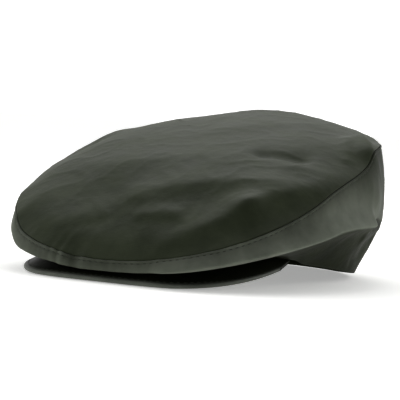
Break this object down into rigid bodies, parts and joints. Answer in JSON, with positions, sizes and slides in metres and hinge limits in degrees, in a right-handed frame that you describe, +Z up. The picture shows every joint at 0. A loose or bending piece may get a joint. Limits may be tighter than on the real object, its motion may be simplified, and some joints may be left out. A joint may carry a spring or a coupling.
{
  "type": "rain cap",
  "caption": "Flat rain cap of waxed cotton: a soft sloping crown of a top panel and a folded side panel over a stiffened peak, open underneath for a head.",
  "frame": {"origin": "on the surface the cap lies on, under the middle of its bounding box", "axes": "+Z up, front of the cap and its peak towards -Y, wearer's left towards +X"},
  "size_m": [0.2393, 0.2767, 0.1115],
  "materials": {
    "waxed_cotton_top": "dark olive-grey waxed cotton, satin with soft creases",
    "waxed_cotton_side": "dark olive-grey waxed cotton, satin, with a stitched seam and hem",
    "waxed_cotton_peak": "dark olive-grey waxed cotton stretched over a stiff peak, stitched round the edge"
  },
  "bodies": {
    "root": {"top_panel": "waxed_cotton_top", "side_panel": "waxed_cotton_side", "peak": "waxed_cotton_peak"}
  },
  "joints": []
}
